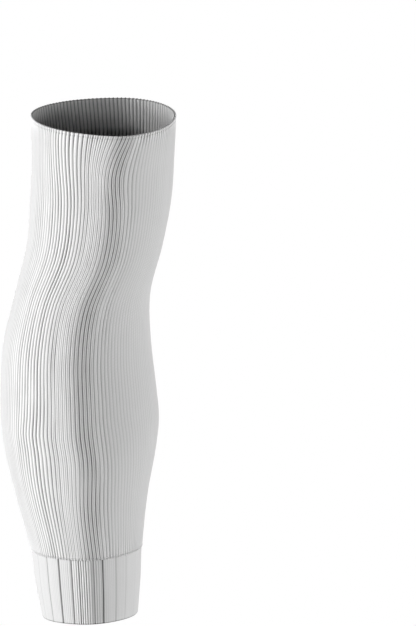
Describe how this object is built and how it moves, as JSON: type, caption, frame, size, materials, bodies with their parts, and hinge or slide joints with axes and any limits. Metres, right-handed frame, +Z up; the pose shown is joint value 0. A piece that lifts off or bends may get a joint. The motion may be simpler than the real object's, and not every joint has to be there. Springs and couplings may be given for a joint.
{
  "type": "leg sleeve",
  "caption": "White ribbed knit leg sleeve in its worn shape: a hollow calf tube, open at the knee, joined at a fine seam to a ribbed ankle cuff.",
  "frame": {"origin": "middle of the fullest calf section, on the leg's axis, where the leg that wears the sleeve holds it up", "axes": "+Z up the leg towards the knee, -Y towards the shin, +X towards the inner side of the right leg"},
  "size_m": [0.1267, 0.1369, 0.3713],
  "materials": {
    "rib_knit": "matte white knit with close upright ribs",
    "cuff_knit": "matte white knit with broad ribs between deep grooves"
  },
  "bodies": {
    "root": {"calf_tube": "rib_knit", "ankle_cuff": "cuff_knit"}
  },
  "joints": []
}
